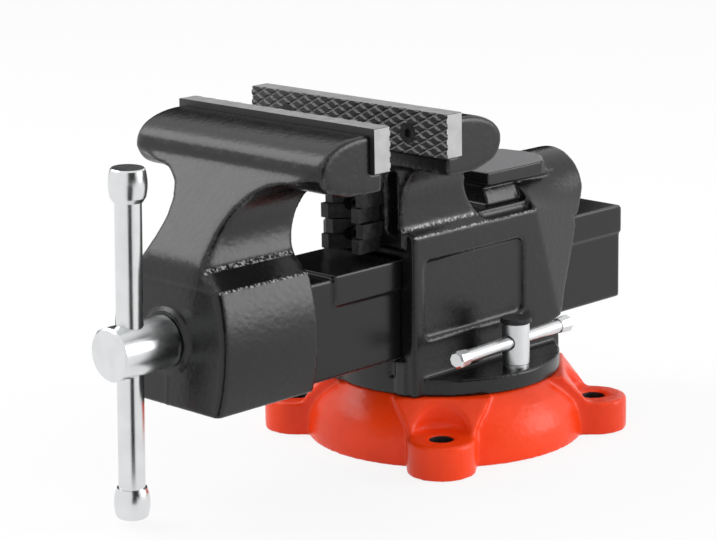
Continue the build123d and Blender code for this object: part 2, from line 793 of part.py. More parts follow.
with BuildPart() as swivel_base:
    # flank and deck turned about the swivel axis
    with BuildSketch(Plane.XZ):
        with BuildLine():
            Polyline((0, bench_z), (base_bottom_radius, bench_z), (base_bottom_radius, 3.0), (87.2, 12.0),
                     (84.0, 20.5), (79.0, 28.0), (73.5, 33.8), (base_top_radius, disc_bottom),
                     (0, disc_bottom), (0, bench_z))
        make_face()
    revolve(axis=Axis.Z)
    for lug_angle in lug_angles:
        add(lug.part.rotate(Axis.Z, lug_angle))
    # spot faces and bolt holes
    for level, radius, height in ((lug_height, spot_face_radius, 30.0), (bench_z, lug_hole_radius, 50.0)):
        with BuildSketch(Plane.XY.offset(level)):
            with PolarLocations(lug_circle, lug_count, start_angle=lug_angles[0]):
                Circle(radius)
        extrude(amount=height, mode=Mode.SUBTRACT)
    # circular T-slot for the lock bolts, and the pivot bore
    with BuildSketch(Plane.XZ):
        with Locations((lock_x, (slot_head_top + disc_bottom) / 2)):
            Rectangle(2 * slot_throat_half, disc_bottom - slot_head_top + 0.02)
        with Locations((lock_x, (slot_floor + slot_head_top) / 2)):
            Rectangle(2 * slot_head_half, slot_head_top - slot_floor)
        with Locations(((spigot_radius + 0.1) / 2, (spigot_bore_z + disc_bottom) / 2)):
            Rectangle(spigot_radius + 0.1, disc_bottom - spigot_bore_z)
        with Locations((4.6, 20.0)):
            Rectangle(9.2, 40.0)
    revolve(axis=Axis.Z, mode=Mode.SUBTRACT)
    # hollow underside between rim and hub
    with BuildSketch(Plane.XY.offset(bench_z)):
        Circle(base_bottom_radius - base_shell)
        Circle(base_hub_radius, mode=Mode.SUBTRACT)
    extrude(amount=underside_z - bench_z, mode=Mode.SUBTRACT)
    with BuildSketch(Plane.XY.offset(bench_z)):
        Circle(pivot_recess_radius)
    extrude(amount=pivot_seat_z - bench_z, mode=Mode.SUBTRACT)
keep("swivel_base", swivel_base.part)


# ---------------------------------------------------------------- pivot bolt
with BuildPart() as pivot_washer:
    with BuildSketch(Plane.XY.offset(pivot_seat_z - 3.0)):
        Circle(pivot_recess_radius - 3.5)
        Circle(pivot_radius + 0.3, mode=Mode.SUBTRACT)
    extrude(amount=3.0)
keep("pivot_washer", pivot_washer.part)

with BuildPart() as pivot_bolt:
    with BuildSketch(Plane.XY.offset(pivot_seat_z - 13.0)):
        RegularPolygon(12.0, 6, major_radius=False)
    extrude(amount=10.0)
    with BuildSketch(Plane.XY.offset(pivot_seat_z - 3.0)):
        Circle(pivot_radius)
    extrude(amount=pivot_tip_z - pivot_seat_z + 3.0)
keep("pivot_bolt", pivot_bolt.part)


# ---------------------------------------------------------------- swivel locks
for side_name, side in (("right", 1), ("left", -1)):
    axis_x = side * lock_x
    lock_axis = Axis((axis_x, 0, 0), (0, 0, 1))
    with BuildPart() as stud:
        with BuildSketch(Plane.XY.offset(slot_floor + 1.0)):
            with Locations((axis_x, 0)):
                RectangleRounded(2 * slot_head_half - 2.4, 14.0, 2.0)
        extrude(amount=slot_head_top - slot_floor - 1.0)
        with BuildSketch(Plane.XY.offset(slot_floor + 1.0)):
            with Locations((axis_x, 0)):
                Circle(stud_radius - 0.1)
        extrude(amount=lock_bar_z - lock_bar_radius - 1.0 - slot_floor - 1.0)
    keep(f"lock_stud_{side_name}", stud.part)

    with BuildPart() as washer:
        with BuildSketch(Plane.XY.offset(disc_top)):
            with Locations((axis_x, 0)):
                Circle(lock_nut_radius - 0.4)
                Circle(stud_radius + 0.2, mode=Mode.SUBTRACT)
        extrude(amount=lock_nut_bottom - disc_top)
    keep(f"lock_washer_{side_name}", washer.part)

    with BuildPart() as nut:
        with BuildSketch(Plane.XY.offset(lock_nut_bottom)):
            with Locations((axis_x, 0)):
                Circle(lock_nut_radius)
        extrude(amount=lock_nut_top - lock_nut_bottom)
        chamfer(nut.edges().filter_by(GeomType.CIRCLE), 0.9)
        with BuildSketch(Plane.XY.offset(lock_nut_bottom)):
            with Locations((axis_x, 0)):
                Circle(stud_radius)
        extrude(amount=lock_bar_z - lock_bar_radius - 0.8 - lock_nut_bottom, mode=Mode.SUBTRACT)
        with BuildSketch(Plane.XZ):
            with Locations((axis_x, lock_bar_z)):
                Circle(lock_bar_radius + 0.1)
        extrude(amount=2 * lock_nut_radius, both=True, mode=Mode.SUBTRACT)
        # wider mouths of the cross hole
        for end in (-1, 1):
            with BuildSketch(Plane.XZ.offset(end * 2 * lock_nut_radius)):
                with Locations((axis_x, lock_bar_z)):
                    Circle(lock_bar_radius + 0.9)
            extrude(amount=-end * (2 * lock_nut_radius - 5.6), mode=Mode.SUBTRACT)
    keep(f"lock_nut_{side_name}", nut.part.rotate(lock_axis, side * lock_bar_turn))

    with BuildPart() as cap:
        with BuildSketch(Plane.XY.offset(lock_nut_top)):
            with Locations((axis_x, 0)):
                Circle(lock_cap_radius)
        extrude(amount=lock_cap_height)
        chamfer(cap.edges().filter_by(GeomType.CIRCLE).group_by(Axis.Z)[-1], 1.0)
    keep(f"lock_cap_{side_name}", cap.part)

    with BuildPart() as bar:
        with BuildSketch(xz_plane(lock_bar_shift + lock_bar_half - lock_knob_length + 3.0)):
            with Locations((axis_x, lock_bar_z)):
                Circle(lock_bar_radius)
        extrude(amount=2 * (lock_bar_half - lock_knob_length + 3.0))
    keep(f"lock_bar_{side_name}", bar.part.rotate(lock_axis, side * lock_bar_turn))

    for end_name, end in (("front", -1), ("rear", 1)):
        knob_start = lock_bar_shift + end * (lock_bar_half - lock_knob_length)
        knob_plane = Plane(origin=(axis_x, knob_start, lock_bar_z), z_dir=(0, end, 0))
        with BuildPart() as knob:
            # flared octagon, then a blunt chamfered end
            with BuildSketch(knob_plane):
                RegularPolygon(lock_bar_radius + 0.5, 8, major_radius=False)
            with BuildSketch(knob_plane.offset(lock_knob_length - 2.0)):
                RegularPolygon(lock_knob_radius, 8, major_radius=False)
            loft()
            extrude(knob.faces().sort_by(Axis.Y)[-1 if end > 0 else 0], 2.0)
            chamfer(knob.faces().sort_by(Axis.Y)[-1 if end > 0 else 0].edges(), 1.2)
            with BuildSketch(knob_plane):
                Circle(lock_bar_radius)
            extrude(amount=3.0, mode=Mode.SUBTRACT)
        keep(f"lock_knob_{side_name}_{end_name}", knob.part.rotate(lock_axis, side * lock_bar_turn))
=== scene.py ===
import math

import bmesh
import bpy
import numpy as np
from bpy.props import FloatProperty, FloatVectorProperty, IntProperty, PointerProperty
from mathutils import Matrix, Vector, noise


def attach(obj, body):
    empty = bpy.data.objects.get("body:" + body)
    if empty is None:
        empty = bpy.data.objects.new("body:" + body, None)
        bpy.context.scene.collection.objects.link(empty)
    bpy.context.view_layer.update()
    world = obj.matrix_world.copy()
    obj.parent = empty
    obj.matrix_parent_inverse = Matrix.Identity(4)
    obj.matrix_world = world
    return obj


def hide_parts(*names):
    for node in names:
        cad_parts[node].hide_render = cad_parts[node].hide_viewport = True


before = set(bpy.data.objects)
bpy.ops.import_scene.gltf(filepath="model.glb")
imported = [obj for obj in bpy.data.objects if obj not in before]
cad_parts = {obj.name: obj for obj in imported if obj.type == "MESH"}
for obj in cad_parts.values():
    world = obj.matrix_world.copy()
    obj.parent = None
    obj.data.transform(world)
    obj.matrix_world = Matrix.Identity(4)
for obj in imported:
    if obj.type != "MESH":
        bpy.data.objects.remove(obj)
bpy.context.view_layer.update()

bl_info = {
    "name": "Bench Vise Finish",
    "version": (1, 0, 0),
    "blender": (4, 5, 0),
    "location": "3D View > Sidebar > Vise",
    "description": "Castings, steel and chrome finish for a bench vise on a swivel base",
    "category": "Object",
}

MM = 0.001
WELD = 0.002 * MM  # CAD points closer than this are one point
EDGE_RECESS = 0.35 * MM  # an edge rounded back this far gets the full worn colour and painted highlight
TUNNEL_LOW, TUNNEL_HIGH = (-30.4, -80, 61.0), (30.4, 106, 127.0)  # corners of the slide's tunnel, mm
TUNNEL_ROOM = 0.2 * MM
SLIDE_SLIP = 0.06 * MM
FLASH_HEIGHT, FLASH_WIDTH = 0.3 * MM, 0.8 * MM
HOLE_CIRCLE = 94.3 * MM  # from the swivel's axis to a bolt hole's
HOLE_ANGLE = 41.6  # first bolt hole, degrees from +X
HOLE_COUNT = 4
HOLE_SHADE_REACH = 8.0 * MM  # painted shade in a bolt hole reaches this far from the hole's axis
BAR_Y = -0.2575  # the tommy bar's plane


# ---------------------------------------------------------------- settings
class CastingSettings(bpy.types.PropertyGroup):
    """Sizes and colours of the enamelled castings."""

    black: FloatVectorProperty(
        name="Black enamel", description="Colour of the black castings",
        default=(0.0055, 0.0057, 0.0062), size=3, subtype="COLOR", min=0, max=1)
    orange: FloatVectorProperty(
        name="Orange enamel", description="Colour of the swivel base",
        default=(0.90, 0.048, 0.003), size=3, subtype="COLOR", min=0, max=1)
    voxel: FloatProperty(
        name="Skin cell", description="Cell size of the rebuilt cast skin",
        default=1.0 * MM, unit="LENGTH", min=0.4 * MM, max=4 * MM, precision=5)
    rounding: IntProperty(
        name="Edge rounding", description="Smoothing passes that round every cast edge",
        default=4, min=0, max=40)
    skin_depth: FloatProperty(
        name="Skin depth", description="Height of the sand-cast roughness",
        default=0.07 * MM, unit="LENGTH", min=0, max=1 * MM, precision=5)
    skin_size: FloatProperty(
        name="Skin grain", description="Size of the sand-cast roughness",
        default=2.6 * MM, unit="LENGTH", min=0.5 * MM, max=20 * MM, precision=5)


class SteelSettings(bpy.types.PropertyGroup):
    """Colours of the bare and plated steel."""

    ground: FloatVectorProperty(
        name="Ground steel", description="Colour of the ground faces of the jaw plates",
        default=(0.42, 0.42, 0.42), size=3, subtype="COLOR", min=0, max=1)
    oxide: FloatVectorProperty(
        name="Black oxide", description="Colour of blackened steel",
        default=(0.022, 0.022, 0.024), size=3, subtype="COLOR", min=0, max=1)
    chrome: FloatVectorProperty(
        name="Chrome", description="Colour of the plated bars, hub and nuts",
        default=(0.74, 0.75, 0.76), size=3, subtype="COLOR", min=0, max=1)
    oiled: FloatVectorProperty(
        name="Oiled steel", description="Colour of the turned thread and its fittings",
        default=(0.30, 0.29, 0.28), size=3, subtype="COLOR", min=0, max=1)


class StudioSettings(bpy.types.PropertyGroup):
    """Camera and light."""

    azimuth: FloatProperty(
        name="Azimuth", description="Camera angle round the vise, 0 looks along +Y",
        default=math.radians(45.12), subtype="ANGLE")
    elevation: FloatProperty(
        name="Elevation", description="Camera angle above the bench",
        default=math.radians(13.52), subtype="ANGLE")
    roll: FloatProperty(
        name="Roll", description="Camera roll", default=math.radians(-1.01), subtype="ANGLE")
    distance: FloatProperty(
        name="Distance", description="Camera distance from the point it looks at",
        default=1.50806, unit="LENGTH", min=0.1)
    target: FloatVectorProperty(
        name="Target", description="Point the camera looks at",
        default=(0.00004, -0.07637, 0.1165), size=3, subtype="XYZ_LENGTH")
    lens: FloatProperty(
        name="Lens", description="Focal length in millimetres on a 36 mm sensor",
        default=124.53, min=10, max=300)
    key: FloatProperty(
        name="Key light", description="Power of the large soft light at the upper left",
        default=16.0, unit="POWER", min=0)
    side: FloatProperty(
        name="Side light", description="Power of the soft light on the right",
        default=11.0, unit="POWER", min=0)
    top: FloatProperty(
        name="Top light", description="Power of the small light overhead",
        default=3.0, unit="POWER", min=0)
    ambient: FloatProperty(
        name="Ambient", description="Brightness of the room's even light",
        default=0.8, min=0, max=2)


# ---------------------------------------------------------------- shader maths
class Wire:
    """An output socket that takes part in arithmetic; each operator adds one Math node."""

    def __init__(self, paint, socket):
        self.paint = paint
        self.socket = socket

    def math(self, operation, *others, swapped=False):
        values = [self, *others]
        if swapped:
            values.reverse()
        return self.paint.add("ShaderNodeMath", {"operation": operation}, dict(enumerate(values)))

    def __add__(self, other):
        return self.math("ADD", other)

    __radd__ = __add__

    def __mul__(self, other):
        return self.math("MULTIPLY", other)

    __rmul__ = __mul__

    def __sub__(self, other):
        return self.math("SUBTRACT", other)

    def __rsub__(self, other):
        return self.math("SUBTRACT", other, swapped=True)

    def __abs__(self):
        return self.math("ABSOLUTE")

    def over(self, low, high):
        """0 below low, 1 above high, smooth between."""
        return self.paint.add(
            "ShaderNodeMapRange", {"interpolation_type": "SMOOTHSTEP"},
            {"Value": self, "From Min": low, "From Max": high})

    def highest(self, other):
        return self.math("MAXIMUM", other)


class Paint:
    """Node tree of one material."""

    def __init__(self, name):
        self.material = bpy.data.materials.new(name)
        self.material.use_nodes = True
        self.tree = self.material.node_tree
        self.tree.nodes.clear()
        self.local = self.add("ShaderNodeTexCoord", output="Object")

    def add(self, kind, settings=None, inputs=None, output=0):
        """Any node: its settings are made first, then its sockets are set or linked."""
        node = self.tree.nodes.new(kind)
        for key, value in (settings or {}).items():
            setattr(node, key, value)
        for key, value in (inputs or {}).items():
            if isinstance(value, Wire):
                self.tree.links.new(value.socket, node.inputs[key])
            else:
                node.inputs[key].default_value = value
        return Wire(self, node.outputs[output]) if node.outputs else None

    def split(self, vector):
        """The three parts of a vector."""
        node = self.add("ShaderNodeSeparateXYZ", inputs={0: vector}).socket.node
        return [Wire(self, socket) for socket in node.outputs]

    def grain(self, size, detail=2.0, roughness=0.5, stretch=(1, 1, 1)):
        """Noise from 0 to 1 with features about this size in metres, drawn out along an axis."""
        place = self.add("ShaderNodeVectorMath", {"operation": "MULTIPLY"}, {0: self.local, 1: stretch})
        return self.add(
            "ShaderNodeTexNoise", {"noise_dimensions": "3D"},
            {"Vector": place, "Scale": 1 / size, "Detail": detail, "Roughness": roughness})

    def blend(self, share, first, second):
        """Colour that goes from first to second."""
        colors = {key: (*value, 1.0) if isinstance(value, tuple) else value
                  for key, value in ((6, first), (7, second))}
        return self.add("ShaderNodeMix", {"data_type": "RGBA"}, {0: share, **colors}, output=2)

    def bump(self, height, depth, strength):
        """Normal of a height map whose full swing is depth metres."""
        return self.add("ShaderNodeBump", inputs={"Height": height, "Distance": depth, "Strength": strength})

    def finish(self, **sockets):
        """Principled surface with these sockets, named with underscores for spaces."""
        inputs = {}
        for key, value in sockets.items():
            if isinstance(value, tuple):
                value = (*value, 1.0)
            inputs[key.replace("_", " ")] = value
        surface = self.add("ShaderNodeBsdfPrincipled", inputs=inputs)
        self.add("ShaderNodeOutputMaterial", inputs={"Surface": surface})
        return self.material


def shaded(color, factor):
    """The colour made lighter or darker."""
    return tuple(min(1.0, part * factor) for part in color)


def enamel(name, color, wear_and_highlight_color, bare_and_shade_color, roughness, specular):
    """Sprayed enamel over a sand-cast skin: orange peel, worn thin spots on the edges that also carry a
    painted highlight, painted highlight lines, and unpainted stretches and painted shade where marked.
    """
    paint = Paint(name)
    broad = paint.grain(60 * MM, detail=3)
    blotch = paint.grain(9 * MM, detail=4, roughness=0.6)
    peel = paint.grain(1.9 * MM, detail=2)
    fine = paint.grain(0.6 * MM, detail=2)
    edge = paint.add("ShaderNodeAttribute", {"attribute_name": "edge"}, output="Fac")
    # Edges lightened towards the edge colour in patches: partly worn paint, partly a painted highlight where
    # light catches the rounded edges.
    wear_and_highlight = edge.over(0.25, 1.0) * blotch.over(0.42, 0.66) * peel.over(0.35, 0.6)
    tone = paint.blend(broad.over(0.3, 0.7), shaded(color, 0.86), shaded(color, 1.16))
    tone = paint.blend(wear_and_highlight * 0.5, tone, wear_and_highlight_color)
    # Painted highlight: bright broken lines painted along the marked cast edges, where the light catches
    # them.
    painted_highlight = paint.add("ShaderNodeAttribute", {"attribute_name": "painted_highlight"}, output="Fac").over(0.2, 0.9)
    tone = paint.blend(painted_highlight * peel.over(0.42, 0.66), tone, (0.40, 0.40, 0.41))
    # Unpainted stretches, such as the anvil's ground face, and painted shade, such as the near-black walls of
    # the bolt holes.
    bare_and_painted_light = paint.add("ShaderNodeAttribute", {"attribute_name": "bare_and_painted_light"}, output="Fac").over(0.3, 0.7)
    tone = paint.blend(bare_and_painted_light, tone, paint.blend(blotch, shaded(bare_and_shade_color, 0.85), shaded(bare_and_shade_color, 1.15)))
    normal = paint.bump(peel + fine * 0.25, 0.10 * MM, 0.55)
    return paint.finish(
        Base_Color=tone, Roughness=roughness + blotch * 0.12 - 0.06 + wear_and_highlight * 0.1 + bare_and_painted_light * 0.3,
        Normal=normal, Specular_IOR_Level=specular)


def satin_black(name, color):
    """Smooth satin black of the slide bar, with faint drawing lines along it."""
    paint = Paint(name)
    broad = paint.grain(45 * MM, detail=3)
    peel = paint.grain(1.4 * MM, detail=2)
    lines = paint.grain(2.5 * MM, detail=3, stretch=(1, 0.02, 1))
    edge = paint.add("ShaderNodeAttribute", {"attribute_name": "edge"}, output="Fac")
    # Edges lightened to grey in patches: partly worn finish, partly a painted highlight along the rounded
    # edges.
    bare_and_painted_light = edge.over(0.3, 1.0) * peel.over(0.3, 0.6)
    tone = paint.blend(broad.over(0.3, 0.7), shaded(color, 0.9), shaded(color, 1.12))
    tone = paint.blend(bare_and_painted_light * 0.5, tone, (0.16, 0.16, 0.165))
    normal = paint.bump(peel * 0.6 + lines * 0.4, 0.05 * MM, 0.5)
    return paint.finish(Base_Color=tone, Roughness=0.20 + lines * 0.08, Normal=normal,
                        Specular_IOR_Level=0.4)


def plate_steel(name, ground, oxide):
    """Jaw plate: ground bright on top and ends, black oxide elsewhere, with a painted highlight on the
    upward-facing flanks of the knurl.
    """
    paint = Paint(name)
    facing = paint.add("ShaderNodeTexCoord", output="Normal")
    across, _, up = paint.split(facing)
    machined = abs(across).highest(up).over(0.86, 0.95)
    lines = paint.grain(1.1 * MM, detail=4, stretch=(0.04, 1, 1))
    mottle = paint.grain(7 * MM, detail=3)
    fleck = paint.grain(0.7 * MM, detail=2)
    bright = paint.blend(mottle.over(0.3, 0.7), shaded(ground, 0.92), shaded(ground, 1.08))
    # Painted highlight: flanks that face up are painted lighter and more metallic, as if lit from above.
    upward_highlight = up.over(0.3, 0.62) * fleck.over(0.3, 0.62)
    black = paint.blend(upward_highlight * 0.55, oxide, shaded(ground, 0.8))
    tone = paint.blend(machined, black, bright)
    normal = paint.bump(lines + fleck * 0.2, 0.03 * MM, 0.5)
    return paint.finish(
        Base_Color=tone, Metallic=machined * 0.45 + upward_highlight * 0.4,
        Roughness=0.40 + machined * 0.08 + mottle * 0.08, Normal=normal)


def oxide_steel(name, color):
    """Black-oxide steel with a dry mottled bloom."""
    paint = Paint(name)
    mottle = paint.grain(3 * MM, detail=4)
    fleck = paint.grain(0.5 * MM, detail=2)
    tone = paint.blend(mottle.over(0.35, 0.7), shaded(color, 0.8), shaded(color, 1.7))
    normal = paint.bump(fleck + mottle, 0.04 * MM, 0.6)
    return paint.finish(Base_Color=tone, Metallic=0.5, Roughness=0.38 + mottle * 0.15, Normal=normal)


def plated(name, color, roughness, stretch):
    """Polished plating with faint polishing lines along stretch, and small dull patches."""
    paint = Paint(name)
    lines = paint.grain(0.8 * MM, detail=3, stretch=stretch)
    cloud = paint.grain(14 * MM, detail=3)
    tone = paint.blend(cloud.over(0.35, 0.7), shaded(color, 0.96), shaded(color, 1.03))
    normal = paint.bump(lines, 0.008 * MM, 0.35)
    return paint.finish(Base_Color=tone, Metallic=1.0, Roughness=roughness + cloud * 0.07 + lines * 0.05,
                        Normal=normal)


def oiled_steel(name, color):
    """Turned steel under a film of oil, darker in random patches."""
    paint = Paint(name)
    turning = paint.grain(0.5 * MM, detail=2, stretch=(0.3, 1, 0.3))
    film = paint.grain(11 * MM, detail=4)
    tone = paint.blend(film.over(0.35, 0.65), shaded(color, 0.45), color)
    normal = paint.bump(turning, 0.03 * MM, 0.6)
    return paint.finish(Base_Color=tone, Metallic=0.9, Roughness=0.28 + film * 0.2, Normal=normal)


# ---------------------------------------------------------------- mesh tools
def cad_copy(node, name):
    """New object with a welded copy of a CAD node's mesh."""
    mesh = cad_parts[node].data.copy()
    mesh.name = name
    shape = bmesh.new()
    shape.from_mesh(mesh)
    bmesh.ops.remove_doubles(shape, verts=shape.verts, dist=WELD)
    shape.to_mesh(mesh)
    shape.free()
    piece = bpy.data.objects.new(name, mesh)
    bpy.context.scene.collection.objects.link(piece)
    return piece


def bake_modifiers(piece):
    """Put the result of a piece's modifiers into its mesh."""
    depsgraph = bpy.context.evaluated_depsgraph_get()
    mesh = bpy.data.meshes.new_from_object(piece.evaluated_get(depsgraph))
    piece.modifiers.clear()
    piece.data = mesh


def points_of(mesh):
    flat = np.empty(len(mesh.vertices) * 3)
    mesh.vertices.foreach_get("co", flat)
    return flat.reshape(-1, 3)


def normals_of(mesh):
    flat = np.empty(len(mesh.vertices) * 3, np.float32)
    mesh.vertices.foreach_get("normal", flat)
    return flat.reshape(-1, 3)


def relax(points, edges, passes, weight):
    """Laplacian smoothing: each pass moves a point towards its neighbours' middle by weight."""
    first, second = edges[:, 0], edges[:, 1]
    count = np.bincount(edges.ravel(), minlength=len(points))[:, None]
    for _ in range(passes):
        total = np.stack(
            [np.bincount(first, points[second, axis], len(points))
             + np.bincount(second, points[first, axis], len(points)) for axis in range(3)], axis=1)
        points = points + weight[:, None] * (total / count - points)
    return points


def inside(points, low, high, margin):
    """1 inside a box given in millimetres, falling to 0 over the margin outside it."""
    low, high = np.array(low) * MM, np.array(high) * MM
    outside = np.maximum(np.maximum(low - points, points - high), 0).max(axis=1)
    return np.clip(1 - outside / (margin * MM), 0, 1)


def along(points, lines):
    """1 on lines given as (start, end, radius) in millimetres, falling to 0 outside their radius."""
    share = np.zeros(len(points))
    for start, end, radius in lines:
        start, end = np.array(start) * MM, np.array(end) * MM
        way = end - start
        place = np.clip((points - start) @ way / (way @ way), 0, 1)
        apart = np.linalg.norm(points - start - place[:, None] * way, axis=1)
        share = np.maximum(share, np.clip(1.6 - apart / (radius * MM), 0, 1))
    return share


def rough(points, size, seed):
    """Fractal roughness about 0 for each point."""
    shift = Vector((seed, 2.0 * seed, 0.5 * seed))
    scale = 1.0 / size
    return np.array([noise.fractal(Vector(point) * scale + shift, 0.9, 2.1, 3) for point in points])


def cast_skin(node, name, soft=(), crisp=(), seed=1.0, depth=None, extra=None, bare_and_painted_light=None,
              painted_highlight=None):
    """Cast skin over a CAD node: rebuilt in small cells, its edges rounded and its surface roughened.

    soft holds (low, high, margin, passes) boxes that are blended further, crisp holds (low, high,
    margin) boxes of machined stretches that stay as they are. extra lifts the points, bare marks
    unpainted points and points given painted shade, and glint marks points given painted highlights."""
    settings = bpy.context.scene.vise_castings
    piece = cad_copy(node, name)
    solid = points_of(piece.data)
    low_corner, high_corner = solid.min(axis=0), solid.max(axis=0)
    cells = piece.modifiers.new("cells", "REMESH")
    cells.mode = "VOXEL"
    cells.voxel_size = settings.voxel
    bake_modifiers(piece)
    mesh = piece.data
    edges = np.empty(len(mesh.edges) * 2, int)
    mesh.edges.foreach_get("vertices", edges)
    edges = edges.reshape(-1, 2)
    points = points_of(mesh)
    free = np.ones(len(points))
    for low, high, margin in crisp:
        free = np.minimum(free, 1 - inside(points, low, high, margin))
    before = points
    points = relax(points, edges, settings.rounding, 0.25 + 0.35 * free)
    for low, high, margin, passes in soft:
        points = relax(points, edges, passes, 0.6 * inside(before, low, high, margin) * free)
    mesh.vertices.foreach_set("co", points.ravel())
    mesh.update()
    normals = normals_of(mesh)
    edge = np.clip(((before - points) * normals).sum(axis=1) / EDGE_RECESS, 0, 1)
    depth = settings.skin_depth if depth is None else depth
    lift = depth * free * rough(points, settings.skin_size, seed)
    if extra is not None:
        lift = lift + extra(points)
    points = np.clip(points + normals * lift[:, None], low_corner, high_corner)
    mesh.vertices.foreach_set("co", points.ravel())
    attribute = mesh.attributes.new("edge", "FLOAT", "POINT")
    attribute.data.foreach_set("value", (edge * np.maximum(free, 0.2)).astype(np.float32))
    # Point masks: unpainted stretches and painted shade, and painted highlight lines.
    for label, mark in (("bare_and_painted_light", bare_and_painted_light), ("painted_highlight", painted_highlight)):
        if mark is not None:
            attribute = mesh.attributes.new(label, "FLOAT", "POINT")
            attribute.data.foreach_set("value", mark(points).astype(np.float32))
    mesh.polygons.foreach_set("use_smooth", [True] * len(mesh.polygons))
    mesh.update()
    return piece


def dress(piece, material):
    """Give a piece one material."""
    piece.data.materials.clear()
    piece.data.materials.append(material)


def stand_in(piece, node, body, material):
    """Let a piece stand for a CAD node."""
    dress(piece, material)
    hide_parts(node)
    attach(piece, body)


def coat(names, material):
    """Give CAD nodes a material in place of the plain one."""
    for name in names:
        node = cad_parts[name]
        for slot in node.material_slots:
            slot.material = material


